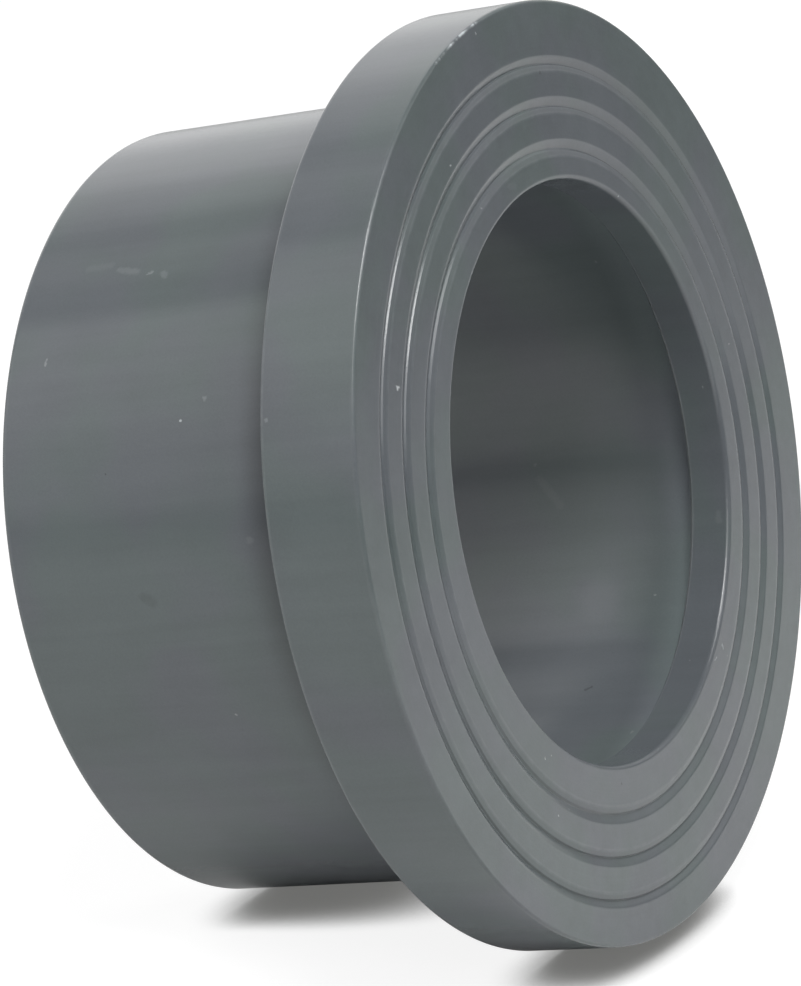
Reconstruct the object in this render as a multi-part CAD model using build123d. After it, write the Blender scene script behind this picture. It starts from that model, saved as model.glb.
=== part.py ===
from build123d import *
import os

# A grey PVC-U stub flange for 63 mm pressure pipe, moulded in one piece:
# a plain socket that a pipe is cemented into, and a flat collar that a loose
# backing ring presses onto a gasket. The part stands on its socket end, with
# the grooved sealing face up. Millimetres. The axis is Z, and the origin is
# at the middle of the socket end.

# Collar
COLLAR_RADIUS = 45.0
COLLAR_THICKNESS = 9.7
FACE_EDGE_ROUND = 0.4
BACK_EDGE_BREAK = 0.5

# Neck, which is the outside of the socket
NECK_RADIUS = 37.8
TOTAL_LENGTH = 42.5
NECK_ROOT_ROUND = 1.5
MOUTH_OUTER_BREAK = 0.6

# Socket for the pipe, which ends in a flat stop
PIPE_RADIUS = 31.5
PIPE_PLAY = 0.1
SOCKET_DEPTH = 38.0
MOUTH_LEAD_IN = 1.2

# Waterway, the short hole through the stop and the face
BORE_RADIUS = 27.9
BORE_FRONT_ROUND = 0.7
BORE_REAR_BREAK = 0.4

# Sealing grooves: three shallow notches turned a little off the axis, each
# with a long inner flank that meets a short outer flank at the bottom
GROOVE_COUNT = 3
FIRST_GROOVE_RADIUS = 31.0
GROOVE_PITCH = 4.05
GROOVE_DEPTH = 0.5
GROOVE_INNER_FLANK = 1.0
GROOVE_OUTER_FLANK = 0.6
GROOVE_CENTRE_X = 0.84
GROOVE_CENTRE_Y = -0.32

# How far a notch's profile stands above the face that it cuts
CUT_OVERRUN = 1.0

SOCKET_RADIUS = PIPE_RADIUS + PIPE_PLAY
COLLAR_BACK = TOTAL_LENGTH - COLLAR_THICKNESS


def outline_face(points):
    """A flat face with straight sides through (radius, height) points."""
    return make_face(Polyline(*points, close=True))


def round_corner(face, point, radius):
    """The face with a tangent arc in place of the corner at point."""
    corner = face.vertices().sort_by_distance(point)[0]
    return fillet(corner, radius)


def turned(face):
    """The solid that a (radius, height) face sweeps round the Z axis."""
    return revolve(Plane.XZ * face, axis=Axis.Z)


def body_section():
    """Half of the moulding's lengthwise section, without the grooves."""
    section = outline_face([
        (SOCKET_RADIUS + MOUTH_LEAD_IN, 0),
        (NECK_RADIUS - MOUTH_OUTER_BREAK, 0),
        (NECK_RADIUS, MOUTH_OUTER_BREAK),
        (NECK_RADIUS, COLLAR_BACK),
        (COLLAR_RADIUS - BACK_EDGE_BREAK, COLLAR_BACK),
        (COLLAR_RADIUS, COLLAR_BACK + BACK_EDGE_BREAK),
        (COLLAR_RADIUS, TOTAL_LENGTH),
        (BORE_RADIUS, TOTAL_LENGTH),
        (BORE_RADIUS, SOCKET_DEPTH + BORE_REAR_BREAK),
        (BORE_RADIUS + BORE_REAR_BREAK, SOCKET_DEPTH),
        (SOCKET_RADIUS, SOCKET_DEPTH),
        (SOCKET_RADIUS, MOUTH_LEAD_IN),
    ])
    section = round_corner(section, (NECK_RADIUS, COLLAR_BACK), NECK_ROOT_ROUND)
    section = round_corner(section, (COLLAR_RADIUS, TOTAL_LENGTH), FACE_EDGE_ROUND)
    return round_corner(section, (BORE_RADIUS, TOTAL_LENGTH), BORE_FRONT_ROUND)


def notch(inner_radius):
    """The ring that one sealing groove takes out of the face. Its flanks run
    on above the face at their own slopes."""
    top = TOTAL_LENGTH + CUT_OVERRUN
    bottom = TOTAL_LENGTH - GROOVE_DEPTH
    bottom_radius = inner_radius + GROOVE_INNER_FLANK
    flank_scale = (top - bottom) / GROOVE_DEPTH
    ring = turned(outline_face([
        (bottom_radius - GROOVE_INNER_FLANK * flank_scale, top),
        (bottom_radius, bottom),
        (bottom_radius + GROOVE_OUTER_FLANK * flank_scale, top),
    ]))
    return Pos(GROOVE_CENTRE_X, GROOVE_CENTRE_Y, 0) * ring


def stub_flange():
    """The finished moulding."""
    flange = turned(body_section())
    for number in range(GROOVE_COUNT):
        flange -= notch(FIRST_GROOVE_RADIUS + number * GROOVE_PITCH)
    return flange


os.makedirs("parts", exist_ok=True)
export_step(stub_flange(), "parts/stub_flange.step")
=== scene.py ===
"""The looks of a grey PVC-U stub flange that leans on its rim and socket end on a white table.

Sizes of the part are in millimetres, and its axis is Z with the sealing face up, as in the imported
model. Angles about the axis are in degrees from +X towards +Y. Blender's own lengths are metres.
"""

import logging
import math
from collections.abc import Mapping, Sequence
from dataclasses import dataclass
from enum import Enum
from typing import Any, Optional, Union

import bpy
import numpy as np
from mathutils import Matrix, Vector


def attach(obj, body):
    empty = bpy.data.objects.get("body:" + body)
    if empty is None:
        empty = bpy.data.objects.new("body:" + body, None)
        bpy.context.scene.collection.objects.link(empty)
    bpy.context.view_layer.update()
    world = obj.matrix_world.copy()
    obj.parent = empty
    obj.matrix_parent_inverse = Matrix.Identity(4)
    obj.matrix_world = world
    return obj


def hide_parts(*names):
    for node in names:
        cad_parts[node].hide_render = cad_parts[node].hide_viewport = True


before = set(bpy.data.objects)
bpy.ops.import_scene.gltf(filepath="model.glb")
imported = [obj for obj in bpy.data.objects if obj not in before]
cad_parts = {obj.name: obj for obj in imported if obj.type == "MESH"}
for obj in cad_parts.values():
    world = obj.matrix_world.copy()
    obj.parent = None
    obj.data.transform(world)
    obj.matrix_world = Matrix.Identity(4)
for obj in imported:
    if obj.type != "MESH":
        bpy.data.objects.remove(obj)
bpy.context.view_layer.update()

LOG = logging.getLogger("stub_flange")
MM = 0.001
PICTURE_HEIGHT = 986
COLLAR_RADIUS = 45.0
COLLAR_BACK = 32.8
FACE_HEIGHT = 42.5
NECK_RADIUS = 37.8
SOCKET_RADIUS = 31.6
BORE_RADIUS = 27.9
GROOVE_CENTRE = (0.84, -0.32)

Pair = tuple[float, float]
Triple = tuple[float, float, float]
Window = tuple[Pair, Pair]
Operand = Union["Value", float, Triple]


class Value:
    """A shader socket that takes part in Python arithmetic. Each operation adds a Math node."""

    def __init__(self, graph: "Graph", socket: bpy.types.NodeSocket) -> None:
        """Keeps the socket and the graph that new nodes go to."""
        self.graph = graph
        self.socket = socket

    def output(self, name: str) -> "Value":
        """Another output of the same node."""
        return Value(self.graph, self.socket.node.outputs[name])

    def math(self, operation: str, *operands: Operand) -> "Value":
        """The result of a Math node on the operands."""
        inputs = dict(enumerate(operands))
        return self.graph.node("ShaderNodeMath", {"operation": operation}, inputs)

    def __add__(self, other: Operand) -> "Value":
        """Sum."""
        return self.math("ADD", self, other)

    def __radd__(self, other: Operand) -> "Value":
        """Sum with a number on the left."""
        return self.math("ADD", other, self)

    def __sub__(self, other: Operand) -> "Value":
        """Difference."""
        return self.math("SUBTRACT", self, other)

    def __rsub__(self, other: Operand) -> "Value":
        """Difference with a number on the left."""
        return self.math("SUBTRACT", other, self)

    def __mul__(self, other: Operand) -> "Value":
        """Product."""
        return self.math("MULTIPLY", self, other)

    def __truediv__(self, other: Operand) -> "Value":
        """Quotient."""
        return self.math("DIVIDE", self, other)

    def least(self, other: Operand) -> "Value":
        """The smaller of the two."""
        return self.math("MINIMUM", self, other)

    def most(self, other: Operand) -> "Value":
        """The larger of the two."""
        return self.math("MAXIMUM", self, other)

    def step(self, low: float, high: float) -> "Value":
        """Eases from 0 at low to 1 at high, where either may be the smaller number.

        Args:
            low: The value at which the result is 0.
            high: The value at which the result is 1.

        Returns:
            The eased share.
        """
        start, end, bottom, top = (low, high, 0.0, 1.0) if low < high else (high, low, 1.0, 0.0)
        settings = {"interpolation_type": "SMOOTHSTEP"}
        limits = {"From Min": start, "From Max": end, "To Min": bottom, "To Max": top}
        return self.graph.node("ShaderNodeMapRange", settings, {"Value": self, **limits})

    def within(self, window: Window) -> "Value":
        """1 inside a window and 0 outside it.

        Args:
            window: The values at which the rise is 0 and 1, and those at which the fall is.

        Returns:
            The product of the two eased steps.
        """
        rise, fall = window
        return self.step(*rise) * self.step(*fall)


class Graph:
    """A node tree that is built by calls."""

    def __init__(self, tree: bpy.types.NodeTree) -> None:
        """Empties the tree."""
        self.tree = tree
        tree.nodes.clear()

    def node(
        self,
        kind: str,
        settings: Optional[Mapping[str, Any]] = None,
        inputs: Optional[Mapping[Any, Any]] = None,
        output: Union[int, str] = 0,
    ) -> Optional[Value]:
        """Adds a node.

        Args:
            kind: The node's type.
            settings: Its settings, which go first. A ramp's stops are pairs of place and colour.
            inputs: Values or numbers for its sockets, by name or place.
            output: Which output is wanted.

        Returns:
            The wanted output, or None for a node that has none.
        """
        made = self.tree.nodes.new(kind)
        for name, setting in (settings or {}).items():
            if name == "stops":
                self.set_stops(made.color_ramp, setting)
            else:
                setattr(made, name, setting)
        for key, given in (inputs or {}).items():
            if isinstance(given, Value):
                self.tree.links.new(given.socket, made.inputs[key])
            else:
                made.inputs[key].default_value = given
        return Value(self, made.outputs[output]) if len(made.outputs) else None

    @staticmethod
    def set_stops(ramp: bpy.types.ColorRamp, stops: Sequence[tuple[float, Triple]]) -> None:
        """Gives a ramp its stops.

        Args:
            ramp: The ramp, which has two stops when it is new.
            stops: Places from 0 to 1, rising, each with a colour.
        """
        while len(ramp.elements) < len(stops):
            ramp.elements.new(1.0)
        for element, (place, colour) in zip(ramp.elements, stops):
            element.position = place
            element.color = (*colour, 1.0)

    def vector(
        self, operation: str, *operands: Operand, output: Union[int, str] = 0, **named: Any
    ) -> Value:
        """The result of a Vector Math node on the operands.

        Args:
            operation: The node's operation.
            operands: Vectors, in the order of its sockets.
            output: Which output is wanted.
            named: Numbers for sockets that are given by name.

        Returns:
            The wanted output.
        """
        inputs = {**dict(enumerate(operands)), **named}
        return self.node("ShaderNodeVectorMath", {"operation": operation}, inputs, output)

    def mix(self, share: Operand, first: Operand, second: Operand) -> Value:
        """A colour between two.

        Args:
            share: 0 for the first colour and 1 for the second.
            first: Colour.
            second: Colour.

        Returns:
            The mixed colour.
        """
        settings = {"data_type": "RGBA", "blend_type": "MIX", "clamp_factor": True}
        colours = [x if isinstance(x, Value) else (*x, 1.0) for x in (first, second)]
        inputs = {0: share, 6: colours[0], 7: colours[1]}
        return self.node("ShaderNodeMix", settings, inputs, 2)


@dataclass(frozen=True)
class Noise:
    """Fractal noise of a finish.

    The scale is in features for each mm, and the strength is that of each octave beside the last.
    """

    scale: float
    octaves: float = 2.0
    strength: float = 0.65

    def at(self, graph: Graph, place: Value, output: Union[int, str] = 0) -> Value:
        """The noise at a point.

        Args:
            graph: The material's nodes.
            place: The point in mm.
            output: 0 for a number, or Color for three that differ.

        Returns:
            The noise, mostly from 0.3 to 0.7.
        """
        inputs = {
            "Vector": place,
            "Scale": self.scale,
            "Detail": self.octaves,
            "Roughness": self.strength,
        }
        return graph.node("ShaderNodeTexNoise", {"noise_dimensions": "3D"}, inputs, output)


class Surface(Enum):
    """A surface that marks are on, with its radius in mm, or its height for the face."""

    NECK = NECK_RADIUS
    RIM = COLLAR_RADIUS
    FACE = FACE_HEIGHT
    BORE = BORE_RADIUS
    SOCKET = SOCKET_RADIUS

    def point(self, angle: float, along: float) -> np.ndarray:
        """A point of the surface.

        Args:
            angle: Angle about the axis in degrees.
            along: Radius on the face, and height elsewhere.

        Returns:
            Its place in mm.
        """
        radius, height = (along, self.value) if self is Surface.FACE else (self.value, along)
        turn = math.radians(angle)
        return np.array([radius * math.cos(turn), radius * math.sin(turn), height])


@dataclass(frozen=True)
class Mark:
    """A nick, scuff or speck, which is a soft stroke on a surface.

    It is pale where its strength is above 0 and dark where it is below. A speck has no end.
    Two pale strokes are painted light: a highlight on the bore's edge and a pool of light in
    the socket.
    """

    surface: Surface
    angle: float
    along: float
    width: float
    strength: float
    end: Optional[Pair] = None

    def mask(self, graph: Graph, place: Value) -> Value:
        """How strongly each point is marked.

        The distance is from the point to the nearest place on the straight line between the
        stroke's two ends. The mask eases from the strength at a quarter of the width to 0 at the
        width.

        Args:
            graph: The material's nodes.
            place: The point in mm.

        Returns:
            The mask.
        """
        start = self.surface.point(self.angle, self.along)
        offset = graph.vector("SUBTRACT", place, tuple(start))
        if self.end is not None:
            line = self.surface.point(*self.end) - start
            share = graph.vector("DOT_PRODUCT", offset, tuple(line / (line @ line)), output="Value")
            nearest = graph.vector("SCALE", tuple(line), Scale=share.least(1.0).most(0.0))
            offset = graph.vector("SUBTRACT", offset, nearest)
        away = graph.vector("LENGTH", offset, output="Value")
        return away.step(self.width, self.width / 4) * abs(self.strength)


NECK, RIM, FACE, BORE, SOCKET = Surface
MARKS_AND_PAINTED_LIGHT = (
    Mark(FACE, 218.4, 36.8, 0.16, 0.5),
    Mark(FACE, 202.1, 29.3, 0.5, 0.03, (204.0, 29.6)),
    Mark(FACE, 357.3, 29.6, 0.16, -0.6),
    Mark(FACE, 328.0, 30.3, 0.14, 0.35),
    Mark(FACE, 330.2, 29.6, 0.13, 0.3),
    Mark(FACE, 335.1, 34.4, 0.14, 0.3),
    Mark(FACE, 338.3, 33.1, 0.12, 0.3),
    Mark(FACE, 102.5, 35.1, 0.16, 0.35),
    Mark(FACE, 110.3, 33.2, 0.15, 0.3),
    Mark(FACE, 159.2, 28.04, 0.18, 0.4),
    Mark(FACE, 215.4, 30.7, 0.16, 0.35),
    Mark(FACE, 255.9, 37.3, 0.26, 0.8, (256.1, 37.6)),
    Mark(FACE, 185.8, 38.1, 0.3, -0.3),
    Mark(FACE, 51.2, 29.3, 0.16, 0.3, (50.9, 29.6)),
    Mark(FACE, 50.7, 30.7, 0.14, 0.25),
    Mark(FACE, 46.8, 28.7, 0.16, 0.3, (47.6, 28.9)),
    # Painted highlight: a thin pale line along the bore's lower front edge.
    Mark(FACE, 4.8, 28.0, 0.12, 0.16, (15.2, 28.0)),
    Mark(FACE, 200.9, 44.1, 0.2, 0.35),
    Mark(NECK, 232.7, 10.5, 0.5, 0.07, (233.4, 12.6)),
    Mark(NECK, 234.0, 13.9, 0.2, 0.16, (233.9, 14.3)),
    Mark(NECK, 234.2, 15.6, 0.4, 0.08, (234.8, 16.0)),
    Mark(NECK, 231.8, 6.9, 0.6, 0.03, (231.6, 9.3)),
    Mark(NECK, 246.2, 4.4, 0.22, 0.22, (246.9, 4.4)),
    Mark(NECK, 263.8, 11.7, 0.14, -0.5),
    Mark(NECK, 257.4, 19.9, 0.2, 0.6),
    Mark(NECK, 254.6, 22.4, 0.3, 0.12),
    Mark(NECK, 299.9, 20.2, 0.18, 0.3),
    Mark(NECK, 281.3, 14.3, 0.8, -0.12, (282.0, 15.0)),
    Mark(NECK, 274.7, 26.5, 0.5, 0.05),
    Mark(NECK, 336.9, 18.1, 1.2, -0.12),
    Mark(SOCKET, 92.4, 18.8, 0.3, 0.07),
    Mark(SOCKET, 89.5, 19.2, 0.7, 0.03, (84.5, 21.3)),
    Mark(SOCKET, 65.6, 32.6, 0.18, 0.25),
    # Painted pool of light on the socket's far wall, where light through the bore falls.
    Mark(SOCKET, 65.5, 26.3, 3.4, 0.035),
    Mark(SOCKET, 131.7, 32.3, 0.3, 0.1),
    Mark(SOCKET, 34.4, 34.1, 0.3, 0.12),
    Mark(SOCKET, 46.3, 26.7, 0.22, -0.35, (46.9, 27.4)),
    Mark(BORE, 105.4, 41.2, 0.18, 0.25),
    Mark(BORE, 77.5, 41.4, 0.5, 0.04, (79.0, 41.3)),
    Mark(BORE, 45.5, 40.3, 0.16, 0.25),
    Mark(RIM, 260.8, 33.6, 0.3, 0.12),
)


@dataclass(frozen=True)
class Corner:
    """A corner of the section, with the arc that rounds it.

    The centre share says how far the ring that it sweeps is moved from the axis to the grooves' own
    centre, and the wear is how much its edge is painted pale: wear from handling, and on the
    bore's rear edge a painted highlight line.
    """

    radius: float
    height: float
    rounding: float
    facets: int
    centre_share: float = 0.0
    wear_and_sheen: float = 0.0


@dataclass(frozen=True)
class Groove:
    """One turned groove of the face, from its inner edge to its outer edge.

    Its inner side starts as a gentle shoulder and ends in a steep wall, and its outer side is one
    slope.
    """

    inner_edge: float
    outer_edge: float
    shoulder_width: float = 0.56
    shoulder_drop: float = 0.14
    wall_width: float = 0.105
    floor_width: float = 0.05
    depth: float = 0.335
    inner_round: float = 0.8
    shoulder_round: float = 0.08
    foot_round: float = 0.05
    floor_end_round: float = 0.06
    outer_round: float = 0.6

    def corners(self, face_height: float) -> list[Corner]:
        """Its five corners.

        Args:
            face_height: Height of the face.

        Returns:
            The corners, with rings about the grooves' own centre.
        """
        shoulder = self.inner_edge + self.shoulder_width
        foot = shoulder + self.wall_width
        ledge, floor = face_height - self.shoulder_drop, face_height - self.depth
        return [
            Corner(self.inner_edge, face_height, self.inner_round, 4, centre_share=1.0, wear_and_sheen=1.0),
            Corner(shoulder, ledge, self.shoulder_round, 3, centre_share=1.0),
            Corner(foot, floor, self.foot_round, 2, centre_share=1.0),
            Corner(foot + self.floor_width, floor, self.floor_end_round, 2, centre_share=1.0),
            Corner(self.outer_edge, face_height, self.outer_round, 4, centre_share=1.0),
        ]


@dataclass(frozen=True)
class TornEdge:
    """The ragged lip on the face's edge, where the gate was torn off, and the dent just inside it.

    The lip stands out by its size and is centred a little below the face. The dent is as deep as
    its size.
    """

    first_angle: float = 199.5
    last_angle: float = 212.0
    end_ease: float = 1.5
    lip: float = 0.12
    lip_below_face: float = 0.06
    lip_depth: float = 0.12
    lip_width: float = 0.13
    dent: float = 0.06
    dent_inset: float = 0.52
    dent_width: float = 0.12
    dent_least: float = 0.4
    dent_reach: float = 0.05
    teeth: int = 46
    teeth_heights: Pair = (0.1, 1.0)
    teeth_in_swell: int = 5
    swell_heights: Pair = (0.45, 1.0)
    paleness: float = 1.6
    seed: int = 7

    @property
    def middle(self) -> float:
        """Angle of its middle."""
        return (self.first_angle + self.last_angle) / 2

    def window(self, angle: np.ndarray) -> np.ndarray:
        """1 along the tear and 0 elsewhere, with ends that ease.

        Args:
            angle: Angles about the axis in degrees.

        Returns:
            The product of two smooth steps, one for each end.
        """
        rise = np.clip((angle - self.first_angle) / self.end_ease + 0.5, 0, 1)
        fall = np.clip((self.last_angle - angle) / self.end_ease + 0.5, 0, 1)
        return (rise * rise * (3 - 2 * rise)) * (fall * fall * (3 - 2 * fall))

    def raggedness(self, angle: np.ndarray) -> np.ndarray:
        """How high the lip stands at each angle, from 0 to 1.

        Random heights at even steps along the tear are joined by straight lines, and a slow swell
        of the same kind with fewer steps multiplies them.

        Args:
            angle: Angles about the axis in degrees.

        Returns:
            The height's share at each angle.
        """
        random = np.random.default_rng(self.seed)
        ends = (self.first_angle - 1, self.last_angle + 1)
        swells = self.teeth // self.teeth_in_swell
        teeth = random.uniform(*self.teeth_heights, self.teeth)
        fine = np.interp(angle, np.linspace(*ends, self.teeth), teeth)
        swell = random.uniform(*self.swell_heights, swells)
        slow = np.interp(angle, np.linspace(*ends, swells), swell)
        return fine * slow * self.window(angle)


@dataclass(frozen=True)
class StubFlange:
    """The moulding: a socket with a collar, swept round the axis as a fine mesh.

    The rings crowd at set distances from both ends of a straight run, and are at most the spacing
    apart on a long one. The segments crowd round the tear, with its extra density at its middle.
    """

    collar_radius: float = COLLAR_RADIUS
    collar_back: float = COLLAR_BACK
    face_height: float = FACE_HEIGHT
    face_edge_round: float = 0.3
    back_edge_round: float = 0.4
    neck_radius: float = NECK_RADIUS
    neck_root_round: float = 1.5
    mouth_outer_round: float = 0.6
    mouth_inner_radius: float = 32.8
    mouth_inner_round: float = 0.15
    socket_radius: float = SOCKET_RADIUS
    lead_in: float = 1.2
    lead_in_round: float = 0.4
    socket_depth: float = 38.0
    stop_round: float = 0.3
    bore_radius: float = BORE_RADIUS
    bore_front_round: float = 0.45
    bore_rear_break: float = 0.4
    bore_rear_round: float = 0.12
    grooves: tuple[Groove, ...] = (
        Groove(30.95, 32.55, wall_width=0.19),
        Groove(35.05, 36.6),
        Groove(39.05, 40.45),
    )
    groove_centre: Pair = GROOVE_CENTRE
    end_rings: Triple = (0.12, 0.45, 1.2)
    end_share: float = 0.3
    long_run: float = 1.5
    ring_spacing: float = 6.0
    segments: int = 480
    extra_density: float = 3.4
    dense_spread: float = 9.0
    fine_steps: int = 7200
    tear: TornEdge = TornEdge()

    def corners(self) -> list[Corner]:
        """Every corner of the section: across the face, down the outside and up the socket."""
        bore, socket, neck = self.bore_radius, self.socket_radius, self.neck_radius
        stop, back = self.socket_depth, self.collar_back
        return [
            Corner(bore, self.face_height, self.bore_front_round, 7),
            *(corner for groove in self.grooves for corner in groove.corners(self.face_height)),
            Corner(self.collar_radius, self.face_height, self.face_edge_round, 8, wear_and_sheen=0.5),
            Corner(self.collar_radius, back, self.back_edge_round, 5, wear_and_sheen=1.0),
            Corner(neck, back, self.neck_root_round, 7),
            Corner(neck, 0.0, self.mouth_outer_round, 5, wear_and_sheen=0.8),
            Corner(self.mouth_inner_radius, 0.0, self.mouth_inner_round, 3),
            Corner(socket, self.lead_in, self.lead_in_round, 3),
            Corner(socket, stop, self.stop_round, 3),
            # Painted highlight: wear here paints a thin pale line along the bore's rear edge.
            Corner(bore + self.bore_rear_break, stop, self.bore_rear_round, 2, wear_and_sheen=1.0),
            Corner(bore, stop + self.bore_rear_break, self.bore_rear_round, 2, wear_and_sheen=1.0),
        ]

    @staticmethod
    def arc(before: Corner, corner: Corner, after: Corner) -> np.ndarray:
        """Points on the arc that rounds a corner.

        The tangent points lie at the radius times the tangent of half the turn from the corner.
        Each point is the arc's centre plus the radius times the direction that turns evenly from
        one tangent point to the other.

        Args:
            before: The corner before it.
            corner: The corner.
            after: The corner after it.

        Returns:
            Rows of radius and height.
        """
        at = np.array([corner.radius, corner.height])
        into = np.array([before.radius, before.height]) - at
        out = np.array([after.radius, after.height]) - at
        into /= np.hypot(*into)
        out /= np.hypot(*out)
        half = math.acos(float(np.clip(into @ out, -1, 1))) / 2
        start = at + into * corner.rounding / math.tan(half)
        end = at + out * corner.rounding / math.tan(half)
        bisector = (into + out) / np.hypot(*(into + out))
        middle = at + bisector * corner.rounding / math.sin(half)
        turn = math.pi - 2 * half
        share = np.linspace(0, 1, corner.facets + 1)[:, None]
        first = (start - middle) / corner.rounding
        last = (end - middle) / corner.rounding
        spread = np.sin((1 - share) * turn) * first + np.sin(share * turn) * last
        return middle + corner.rounding * spread / math.sin(turn)

    def run_shares(self, length: float) -> np.ndarray:
        """Where rings stand along a straight run, as shares of its length.

        They crowd towards both ends, which keeps the shading flat between two roundings.

        Args:
            length: The run's length in mm.

        Returns:
            Shares between 0 and 1, without the ends.
        """
        near = np.array([x for x in self.end_rings if x < length * self.end_share])
        parts = max(2, math.ceil(length / self.ring_spacing))
        middle = np.linspace(0, 1, parts + 1)[1:-1] if length > self.long_run else []
        return np.unique(np.concatenate([near / length, middle, 1 - near / length]))

    def section(self) -> np.ndarray:
        """The closed section.

        Returns:
            Rows of radius, height, centre share, and wear with painted sheen.
        """
        corners = self.corners()
        arcs = [
            self.arc(corners[i - 1], corner, corners[(i + 1) % len(corners)])
            for i, corner in enumerate(corners)
        ]
        rows = []
        for i, (corner, points) in enumerate(zip(corners, arcs)):
            following = (i + 1) % len(corners)
            start, end = points[-1], arcs[following][0]
            shares = self.run_shares(float(np.hypot(*(end - start))))[:, None]
            run = start + shares * (end - start)
            towards = corners[following].centre_share - corner.centre_share
            centre = corner.centre_share + shares * towards
            extra = np.tile([corner.centre_share, corner.wear_and_sheen], (len(points), 1))
            rows.append(np.column_stack([points, extra]))
            rows.append(np.column_stack([run, centre, np.zeros(len(run))]))
        return np.concatenate(rows)

    def angles(self) -> np.ndarray:
        """The angles of the sweep, which crowd together at the torn edge.

        The density is 1 plus a bell about the tear, and the angles are where its running sum has
        even steps.

        Returns:
            Angles in degrees, from 0 up to but without 360.
        """
        even = np.linspace(0, 360, self.fine_steps + 1)
        bell = np.exp(-(((even - self.tear.middle) / self.dense_spread) ** 2))
        running = np.concatenate([[0], np.cumsum(1 + self.extra_density * bell[:-1])])
        steps = np.linspace(0, running[-1], self.segments + 1)[:-1]
        return np.interp(steps, running, even)

    def torn(
        self, rows: np.ndarray, angle: np.ndarray
    ) -> tuple[np.ndarray, np.ndarray, np.ndarray]:
        """What the tear adds to the sweep.

        A bell across the face's edge, times the tear's raggedness, pushes the edge out, and another
        bell just inside it presses the face down.

        Args:
            rows: The section.
            angle: The angles of the sweep.

        Returns:
            Grids of angle by ring: growth of the radius, drop of the height, and how torn it is.
        """
        tear, radius, below = self.tear, rows[:, 0], rows[:, 1] - self.face_height
        ragged = tear.raggedness(angle)[:, None]
        edge = self.collar_radius - self.face_edge_round * 0.5
        near_face = np.exp(-(((below + tear.lip_below_face) / tear.lip_depth) ** 2))
        lip = near_face * np.exp(-(((radius - edge) / tear.lip_width) ** 2)) * ragged
        trough = np.exp(-(((radius - self.collar_radius + tear.dent_inset) / tear.dent_width) ** 2))
        on_face = below > -tear.dent_reach
        uneven = tear.dent_least + (1 - tear.dent_least) * ragged
        drop = trough * on_face * tear.dent * tear.window(angle)[:, None] * uneven
        return lip * tear.lip, drop, np.clip(lip * tear.paleness, 0, 1)

    def mesh(self) -> bpy.types.Mesh:
        """Sweeps the section.

        A ring of radius r, height h and centre share s lies at x = s times the grooves' centre x
        plus r times the cosine of the angle, y likewise with the sine, and z = h. The grid closes
        on itself both ways.

        Returns:
            The mesh, in metres, with the attributes torn, and wear with painted sheen.
        """
        rows = self.section()
        degrees = self.angles()
        angle = np.radians(degrees)[:, None]
        growth, drop, torn = self.torn(rows, degrees)
        radius = rows[:, 0] + growth
        x = rows[:, 2] * self.groove_centre[0] + radius * np.cos(angle)
        y = rows[:, 2] * self.groove_centre[1] + radius * np.sin(angle)
        z = np.broadcast_to(rows[:, 1], x.shape) - drop
        points = np.stack([x, y, z], -1).reshape(-1, 3) * MM
        mesh = grid_mesh("stub_flange_moulding", points, len(degrees), len(rows))
        for name, values in {"torn": torn, "wear_and_sheen": np.broadcast_to(rows[:, 3], x.shape)}.items():
            attribute = mesh.attributes.new(name, "FLOAT", "POINT")
            attribute.data.foreach_set("value", values.astype(np.float32).ravel())
        return mesh

    def build(self, finish: "GreyPvc") -> bpy.types.Object:
        """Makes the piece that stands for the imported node.

        Args:
            finish: Its finish.

        Returns:
            The piece, riding on the part's only body.
        """
        mesh = self.mesh()
        mesh.materials.append(finish.material())
        piece = bpy.data.objects.new("stub_flange_moulding", mesh)
        bpy.context.scene.collection.objects.link(piece)
        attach(piece, "root")
        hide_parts("stub_flange")
        LOG.info("%s: %d points, %d faces", piece.name, len(mesh.vertices), len(mesh.polygons))
        return piece


def grid_mesh(name: str, points: np.ndarray, across: int, along: int) -> bpy.types.Mesh:
    """A smooth mesh on a grid that closes on itself both ways.

    Face number i * along + j joins the points (i, j), (i, j + 1), (i + 1, j + 1) and (i + 1, j),
    where both counts wrap round.

    Args:
        name: The mesh's name.
        points: One row for each point, with the second count running fastest.
        across: How many sections there are.
        along: How many points there are in a section.

    Returns:
        The mesh.
    """
    i, j = np.meshgrid(np.arange(across), np.arange(along), indexing="ij")
    right, down = (i + 1) % across, (j + 1) % along
    quads = np.stack([i * along + j, i * along + down, right * along + down, right * along + j], -1)
    quads = quads.reshape(-1, 4)[:, ::-1]
    mesh = bpy.data.meshes.new(name)
    mesh.vertices.add(len(points))
    mesh.vertices.foreach_set("co", points.astype(np.float32).ravel())
    mesh.loops.add(quads.size)
    mesh.loops.foreach_set("vertex_index", quads.astype(np.int32).ravel())
    mesh.polygons.add(len(quads))
    mesh.polygons.foreach_set("loop_start", np.arange(0, quads.size, 4, dtype=np.int32))
    mesh.polygons.foreach_set("use_smooth", np.ones(len(quads), bool))
    mesh.update(calc_edges=True)
    mesh.validate()
    return mesh


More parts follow.
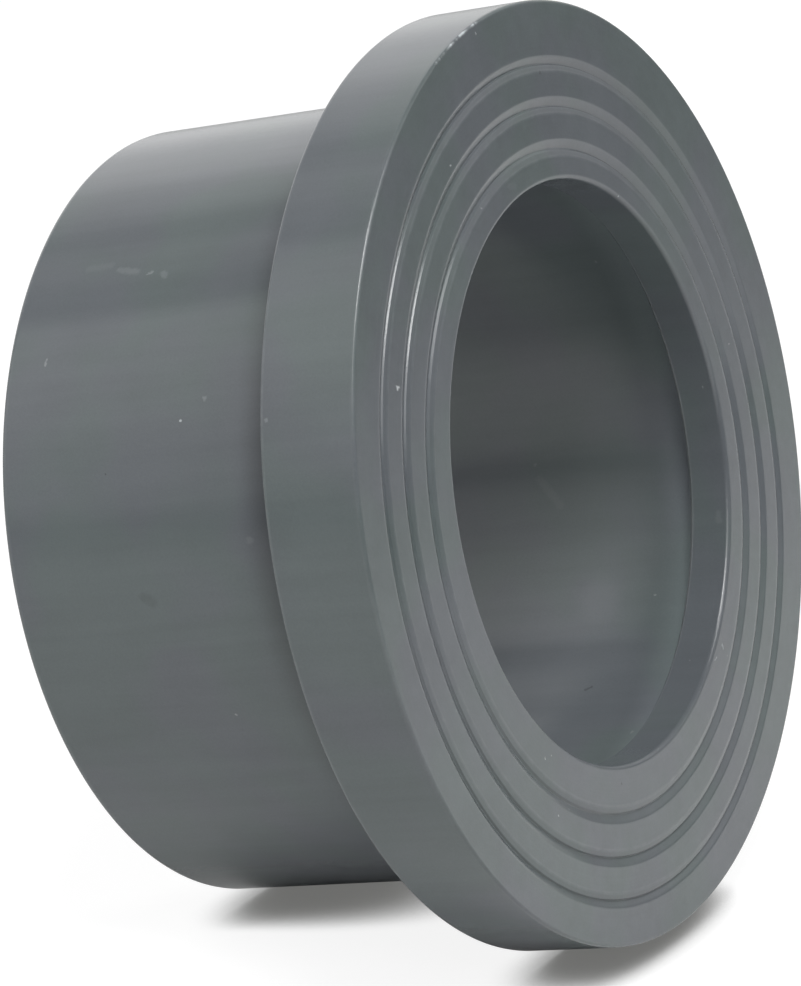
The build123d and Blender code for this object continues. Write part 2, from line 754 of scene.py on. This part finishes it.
@dataclass(frozen=True)
class GreyPvc:
    """Moulded grey PVC-U: mottled, with turned lines, rubbed edges, nicks and specks.

    A field that ends in tone, roughness or bump says how much its noise or mask changes that.
    Heights and radii are the windows in which something shows. Two pale strokes are a painted
    highlight and a painted pool of light, the bore's rear edge has a painted highlight line,
    and the tone has painted light beside the socket's stop and painted shade on the neck beside
    the collar.
    """

    colour: Triple = (0.099, 0.113, 0.119)
    roughness: float = 0.14
    ior: float = 1.53
    mottle: Noise = Noise(0.09, 3.0, 0.55)
    mottle_tone: float = 0.2
    streak: Noise = Noise(0.55, 2.0, 0.6)
    streak_squash: Triple = (1.0, 1.0, 0.07)
    streak_tone: float = 0.16
    hue: Noise = Noise(0.075, 2.0, 0.5)
    hue_range: Pair = (0.4, 0.6)
    violet: Triple = (1.02, 0.985, 1.025)
    green: Triple = (0.975, 1.015, 0.98)
    grain: Noise = Noise(4.5)
    grain_tone: float = 0.16
    grain_roughness: float = 0.08
    # Painted shade on the neck beside the collar: its heights, radii and strength.
    root_heights: Window = ((25.2, 30.5), (34.0, 33.0))
    root_radii: Window = ((35.0, 36.0), (39.5, 38.5))
    root_painted_shade: float = 0.5
    # Painted light on the socket wall beside its stop: its heights, radii and strength.
    stop_heights: Window = ((32.0, 37.5), (38.1, 38.0))
    stop_radii: Window = ((30.0, 31.0), (33.5, 33.0))
    stop_painted_light: float = 0.7
    groove_centre: Pair = GROOVE_CENTRE
    turned_heights: Pair = (41.9, 42.1)
    turned_roughness: float = 0.07
    ring: Noise = Noise(3.5, 2.0, 0.6)
    ring_tone: float = 0.1
    ring_bump: float = 0.4
    bump_strength: float = 0.2
    bump_distance: float = 0.05
    rub: Noise = Noise(0.7)
    rub_range: Pair = (0.3, 0.7)
    least_rubbed: float = 0.015
    more_rubbed: float = 0.035
    rubbed_roughness: float = 0.4
    scuff_and_painted_light: Triple = (0.5, 0.53, 0.54)
    torn_colour: Triple = (0.5, 0.53, 0.55)
    torn_range: Pair = (0.3, 1.0)
    torn_roughness: float = 0.3
    marks: tuple[Mark, ...] = MARKS_AND_PAINTED_LIGHT
    mark_edge: Noise = Noise(2.6, 1.0, 0.5)
    mark_shift: float = 0.5
    mark_roughness: float = 0.3

    @staticmethod
    def off_axis(graph: Graph, place: Value) -> Value:
        """How far a point is from the Z axis."""
        level = graph.vector("MULTIPLY", place, (1.0, 1.0, 0.0))
        return graph.vector("LENGTH", level, output="Value")

    def tone(self, graph: Graph, mm: Value) -> Value:
        """The plain plastic's colour.

        Slow noise turns it between a violet and a green grey and makes it paler or darker, and
        noise that is stretched along the axis gives the walls faint streaks. Painted shade darkens
        the neck beside the collar, and painted light makes the socket paler beside its stop.

        Args:
            graph: The material's nodes.
            mm: The point in mm.

        Returns:
            The colour.
        """
        height = graph.node("ShaderNodeSeparateXYZ", None, {"Vector": mm}, "Z")
        mottle = self.mottle.at(graph, mm)
        streak = self.streak.at(graph, graph.vector("MULTIPLY", mm, self.streak_squash))
        hue = graph.mix(self.hue.at(graph, mm).step(*self.hue_range), self.violet, self.green)
        radius = self.off_axis(graph, mm)
        # Painted shade: the neck darkens in the corner beside the collar.
        root = height.within(self.root_heights) * radius.within(self.root_radii)
        # Painted light: the socket wall is paler beside its stop.
        stop = height.within(self.stop_heights) * radius.within(self.stop_radii)
        uneven = (mottle - 0.5) * self.mottle_tone + (streak - 0.5) * self.streak_tone
        tone = (1.0 + uneven + stop * self.stop_painted_light) * (1.0 - root * self.root_painted_shade)
        return graph.vector("SCALE", graph.vector("MULTIPLY", self.colour, hue), Scale=tone)

    def turning(self, graph: Graph, mm: Value) -> Value:
        """Fine rings about the grooves' centre.

        Args:
            graph: The material's nodes.
            mm: The point in mm.

        Returns:
            Their height, which is noise of the distance from that centre.
        """
        offset = graph.vector("SUBTRACT", mm, (*self.groove_centre, 0.0))
        line = graph.node("ShaderNodeCombineXYZ", None, {"X": self.off_axis(graph, offset)})
        return self.ring.at(graph, line) - 0.5

    def strokes(self, graph: Graph, mm: Value, pale: bool) -> Value:
        """The marks of one kind together, with edges that noise makes ragged.

        Args:
            graph: The material's nodes.
            mm: The point in mm.
            pale: Whether the pale marks are wanted, or the dark ones.

        Returns:
            The strongest of their masks.
        """
        ragged = graph.vector("SUBTRACT", self.mark_edge.at(graph, mm, "Color"), (0.5, 0.5, 0.5))
        place = graph.vector("ADD", mm, graph.vector("SCALE", ragged, Scale=self.mark_shift))
        masks = [mark.mask(graph, place) for mark in self.marks if (mark.strength > 0) == pale]
        strongest = masks[0]
        for mask in masks[1:]:
            strongest = strongest.most(mask)
        return strongest

    def material(self) -> bpy.types.Material:
        """Builds the node tree.

        Returns:
            The material.
        """
        material = bpy.data.materials.new("grey_pvc_moulded")
        material.use_nodes = True
        graph = Graph(material.node_tree)
        place = graph.node("ShaderNodeTexCoord", output="Object")
        mm = graph.vector("SCALE", place, Scale=1 / MM)
        height = graph.node("ShaderNodeSeparateXYZ", None, {"Vector": mm}, "Z")
        torn, wear_and_sheen = (
            graph.node("ShaderNodeAttribute", {"attribute_name": name}, output="Fac")
            for name in ("torn", "wear_and_sheen")
        )
        grain = self.grain.at(graph, mm)
        turned = height.step(*self.turned_heights)
        rings = self.turning(graph, mm) * turned
        # The pale strokes are nicks and scuffs, with a painted highlight and a painted pool of
        # light.
        pale, dark = (self.strokes(graph, mm, kind) for kind in (True, False))
        patchy = self.rub.at(graph, mm).step(*self.rub_range)
        # Pale edges: wear from handling, and a painted highlight along the bore's rear edge.
        rubbed_and_sheen = wear_and_sheen * (self.least_rubbed + patchy * self.more_rubbed)

        tone = (1.0 + (grain - 0.5) * self.grain_tone + rings * self.ring_tone) * (1.0 - dark)
        plain = graph.vector("SCALE", self.tone(graph, mm), Scale=tone)
        # One pale colour for scuffs and wear, and for the painted highlights and pool of light.
        scuff_and_painted_light = graph.mix(pale.most(rubbed_and_sheen), plain, self.scuff_and_painted_light)
        colour = graph.mix(torn.step(*self.torn_range), scuff_and_painted_light, self.torn_colour)

        rough = self.roughness + turned * self.turned_roughness
        rough = rough + (grain - 0.5) * self.grain_roughness + pale * self.mark_roughness
        rough = rough + rubbed_and_sheen * self.rubbed_roughness + torn * self.torn_roughness
        relief = {
            "Strength": self.bump_strength,
            "Distance": self.bump_distance * MM,
            "Height": grain + rings * self.ring_bump,
        }
        bump = graph.node("ShaderNodeBump", None, relief)
        looks = {"Base Color": colour, "Roughness": rough, "IOR": self.ior, "Normal": bump}
        shader = graph.node("ShaderNodeBsdfPrincipled", None, looks)
        graph.node("ShaderNodeOutputMaterial", None, {"Surface": shader})
        return material


@dataclass(frozen=True)
class PhotoCamera:
    """The camera that took the picture, measured from the circles of the part.

    The angles place the part's axis in the picture, and the face's centre is to the right of the
    lens, below it and in front of it, in mm.
    """

    focal_pixels: float = 4497.5
    axis_rise: float = 5.617
    axis_from_view: float = 59.965
    face_centre: Triple = (18.766, -2.045, 426.935)
    face_height: float = FACE_HEIGHT
    sensor: float = 36.0
    clip: Pair = (0.01, 20.0)

    def basis(self) -> tuple[Vector, Vector, Vector]:
        """The picture's right, down and away directions in the part's frame.

        The axis, the direction across it and level with the picture's plane, and their cross
        product are the part's Z, X and Y in the camera's space. The rows of that matrix are what is
        wanted.

        Returns:
            Three unit vectors.
        """
        rise, off = math.radians(self.axis_rise), math.radians(self.axis_from_view)
        sideways = math.sin(off)
        axis = Vector((sideways * math.cos(rise), -sideways * math.sin(rise), -math.cos(off)))
        across = Vector((0, 0, 1)).cross(axis).normalized()
        third = axis.cross(across)
        right, down, away = (Vector((across[i], third[i], axis[i])) for i in range(3))
        return right, down, away

    def build(self) -> bpy.types.Object:
        """Makes the scene's camera.

        Returns:
            The camera.
        """
        right, down, away = self.basis()
        data = bpy.data.cameras.new("photo_camera")
        data.sensor_width = self.sensor
        data.lens = self.focal_pixels * self.sensor / PICTURE_HEIGHT
        data.clip_start, data.clip_end = self.clip
        camera = bpy.data.objects.new("photo_camera", data)
        bpy.context.scene.collection.objects.link(camera)
        x, y, z = self.face_centre
        place = Vector((0, 0, self.face_height)) - right * x - down * y - away * z
        turned = Matrix((right, -down, -away)).transposed().to_4x4()
        camera.matrix_world = Matrix.Translation(place * MM) @ turned
        bpy.context.scene.camera = camera
        LOG.info("%s: lens %.1f mm", camera.name, data.lens)
        return camera


@dataclass(frozen=True)
class SoftBox:
    """A white rectangular lamp on the set, placed by its direction from the part.

    The bearing turns from the camera's side to the right. Its sizes and distance are in metres.
    """

    name: str
    bearing: float
    elevation: float
    watts: float
    width: float
    height: float
    distance: float = 1.0


@dataclass(frozen=True)
class Tabletop:
    """The white table, a plane that touches the collar's back edge and the neck's end.

    The camera sees its white and its glow, with a shadow where the part is within the shadow's
    reach. The part sees card with painted light: its colour goes from darker to paler over the
    fade, as if a lamp lit one side of it more.
    """

    contact_angle: float = 10.8
    collar_radius: float = COLLAR_RADIUS
    collar_back: float = COLLAR_BACK
    neck_radius: float = NECK_RADIUS
    half_width: float = 3.0
    white: float = 0.2
    glow: float = 0.88
    shadow: Triple = (0.17, 0.17, 0.165)
    shadow_reach: float = 5.0
    shadow_range: Pair = (0.3, 0.88)
    shadow_samples: int = 12
    # Painted light on the card that the part sees: darker at one end and paler at the other.
    pale: float = 0.88
    shaded_card: float = 0.57
    light_fade: Pair = (-260.0, 160.0)
    lit_direction: Triple = (-0.06, 0.89, 0.45)

    def frame(self) -> tuple[Vector, Vector]:
        """Where the table is and which way is up.

        The plane holds both contact points and the direction across them, so its normal is the
        cross product of the two.

        Returns:
            A point of the plane in mm, and the unit normal on the part's side.
        """
        angle = math.radians(self.contact_angle)
        out = Vector((math.cos(angle), math.sin(angle), 0))
        tangent = Vector((-math.sin(angle), math.cos(angle), 0))
        upper = out * self.collar_radius + Vector((0, 0, self.collar_back))
        lower = out * self.neck_radius
        normal = (upper - lower).cross(tangent).normalized()
        return upper, normal if normal.dot(out) < 0 else -normal

    def lit_way(self) -> Vector:
        """The level direction in which the card gets paler."""
        normal = self.frame()[1]
        way = Vector(self.lit_direction)
        return (way - normal * way.dot(normal)).normalized()

    def material(self) -> bpy.types.Material:
        """Card that glows for the camera, except close round the part, and is clear from below.

        Returns:
            The material.
        """
        material = bpy.data.materials.new("white_table")
        material.use_nodes = True
        graph = Graph(material.node_tree)
        path = graph.node("ShaderNodeLightPath", output="Is Camera Ray")
        behind = graph.node("ShaderNodeNewGeometry", output="Backfacing")
        where = graph.node("ShaderNodeTexCoord", output="Object")
        along = graph.vector("DOT_PRODUCT", where, tuple(self.lit_way()), output="Value")
        near, far = (limit * MM for limit in self.light_fade)
        # Painted light: the card's colour eases from darker to paler along the lit direction.
        painted_light_card = graph.mix(along.step(near, far), (self.shaded_card,) * 3, (self.pale,) * 3)
        shade = graph.mix(path, painted_light_card, (self.white,) * 3)
        card = graph.node("ShaderNodeBsdfDiffuse", None, {"Color": shade})
        openness = graph.node(
            "ShaderNodeAmbientOcclusion",
            {"samples": self.shadow_samples},
            {"Distance": self.shadow_reach * MM},
            "AO",
        )
        tone = graph.mix(openness.step(*self.shadow_range), self.shadow, (1.0, 1.0, 1.0))
        glow = graph.node("ShaderNodeEmission", None, {"Color": tone, "Strength": path * self.glow})
        lit = graph.node("ShaderNodeAddShader", None, {0: card, 1: glow})
        clear = graph.node("ShaderNodeBsdfTransparent")
        shown = graph.node("ShaderNodeMixShader", None, {0: behind, 1: lit, 2: clear})
        graph.node("ShaderNodeOutputMaterial", None, {"Surface": shown})
        return material

    def build(self) -> bpy.types.Object:
        """Makes the table.

        Returns:
            The plane.
        """
        touching, normal = self.frame()
        side = normal.orthogonal().normalized()
        other = normal.cross(side)
        centre = touching * MM
        corners = [
            centre + side * self.half_width * a + other * self.half_width * b
            for a, b in ((-1, -1), (1, -1), (1, 1), (-1, 1))
        ]
        mesh = bpy.data.meshes.new("table")
        mesh.from_pydata([tuple(c) for c in corners], [], [(0, 1, 2, 3)])
        mesh.materials.append(self.material())
        table = bpy.data.objects.new("table", mesh)
        bpy.context.scene.collection.objects.link(table)
        LOG.info("%s: normal %s", table.name, tuple(round(x, 3) for x in normal))
        return table


@dataclass(frozen=True)
class Room:
    """The pale room round the set, as the part is lit by it and reflects it.

    A stop is an azimuth about the part's axis with the room's light there. One row of stops is for
    directions towards the part's socket end, and the other for those towards its face. They blend
    over some degrees on both sides of the level between them.
    """

    socket_side: tuple[Pair, ...] = (
        (90, 0.6), (105, 0.8), (120, 1.1), (135, 1.1), (148, 1.3), (158, 0.95), (168, 0.8),
        (178, 0.3), (188, 0.75), (197, 0.4), (206, 0.25), (209, 1.1), (213, 1.1), (218, 1.1),
        (228, 1.1), (240, 1.0), (252, 0.75), (264, 0.7), (278, 0.0),
    )
    face_side: tuple[Pair, ...] = (
        (70, 0.0), (95, 0.0), (120, 0.8), (145, 0.4), (170, 0.0), (200, 0.0), (230, 0.75),
        (255, 0.0), (282, 0.0),
    )
    brightest: float = 4.0
    blend: float = 8.0

    def band(self, graph: Graph, azimuth: Value, stops: Sequence[Pair]) -> Value:
        """The light of one row of stops, with straight lines between them.

        Args:
            graph: The room's nodes.
            azimuth: The azimuth as a share of a full turn.
            stops: The row.

        Returns:
            The light.
        """
        greys = [(degrees / 360, (light / self.brightest,) * 3) for degrees, light in stops]
        shade = graph.node("ShaderNodeValToRGB", {"stops": greys}, {"Fac": azimuth})
        return shade * self.brightest

    def build(self) -> bpy.types.World:
        """Makes the room, which is white where the camera sees it and has its own light elsewhere.

        The azimuth is half a turn more than the arc tangent of the direction's -Y over its -X, and
        the height is the arc sine of its Z.

        Returns:
            The world.
        """
        world = bpy.data.worlds.new("pale_room")
        world.use_nodes = True
        graph = Graph(world.node_tree)
        way = graph.node("ShaderNodeTexCoord", output="Generated")
        parts = graph.node("ShaderNodeSeparateXYZ", None, {"Vector": way})
        x, y, z = parts, parts.output("Y"), parts.output("Z")
        azimuth = 0.5 + x.math("ARCTAN2", 0 - y, 0 - x) / math.tau
        height = z.math("ARCSINE", z) * math.degrees(1)
        upward = height.step(-self.blend, self.blend)
        low, high = (self.band(graph, azimuth, row) for row in (self.socket_side, self.face_side))
        light = graph.mix(upward, low, high)
        shining = graph.node("ShaderNodeBackground", None, {"Color": light})
        white = graph.node("ShaderNodeBackground", None, {"Color": (1.0, 1.0, 1.0, 1.0)})
        seen = graph.node("ShaderNodeLightPath", output="Is Camera Ray")
        shown = graph.node("ShaderNodeMixShader", None, {0: seen, 1: shining, 2: white})
        graph.node("ShaderNodeOutputWorld", None, {"Surface": shown})
        bpy.context.scene.world = world
        return world


@dataclass(frozen=True)
class Studio:
    """The set: the table, the lamps and the pale room round them."""

    table: Tabletop
    camera: PhotoCamera
    lamps: tuple[SoftBox, ...] = (
        SoftBox("key_lamp", bearing=5.0, elevation=63.0, watts=5.6, width=0.26, height=0.4),
        SoftBox("front_lamp", bearing=0.0, elevation=42.0, watts=1.7, width=0.45, height=0.45),
        SoftBox("right_lamp", bearing=60.0, elevation=55.0, watts=3.0, width=0.45, height=0.45),
    )
    room: Room = Room()

    def axes(self) -> tuple[Vector, Vector, Vector]:
        """Right, towards the camera, and up on the set."""
        up = self.table.frame()[1]
        right = self.camera.basis()[0]
        right = (right - up * right.dot(up)).normalized()
        return right, right.cross(up).normalized(), up

    def lamp(self, box: SoftBox) -> bpy.types.Object:
        """Hangs a lamp that faces the part.

        The direction turns from the camera's side to the right by the bearing, and rises by the
        elevation.

        Args:
            box: The lamp.

        Returns:
            The light's object.
        """
        right, near, up = self.axes()
        bearing, rise = math.radians(box.bearing), math.radians(box.elevation)
        level = near * math.cos(bearing) + right * math.sin(bearing)
        out = level * math.cos(rise) + up * math.sin(rise)
        data = bpy.data.lights.new(box.name, "AREA")
        data.shape = "RECTANGLE"
        data.size, data.size_y = box.width, box.height
        data.energy = box.watts
        light = bpy.data.objects.new(box.name, data)
        bpy.context.scene.collection.objects.link(light)
        side = up.cross(out).normalized()
        turned = Matrix((side, out.cross(side), out)).transposed().to_4x4()
        target = Vector((0, 0, self.camera.face_height / 2)) * MM
        light.matrix_world = Matrix.Translation(target + out * box.distance) @ turned
        LOG.info("%s: %.1f W", box.name, box.watts)
        return light

    def build(self) -> None:
        """Makes the table, the lamps and the room."""
        self.table.build()
        for box in self.lamps:
            self.lamp(box)
        self.room.build()
        bpy.context.scene.view_settings.view_transform = "Standard"


def main() -> None:
    """Builds the flange, its set and the camera."""
    logging.basicConfig(level=logging.INFO, format="%(name)s %(message)s")
    camera = PhotoCamera()
    camera.build()
    StubFlange().build(GreyPvc())
    Studio(Tabletop(), camera).build()


if __name__ == "__main__":
    main()
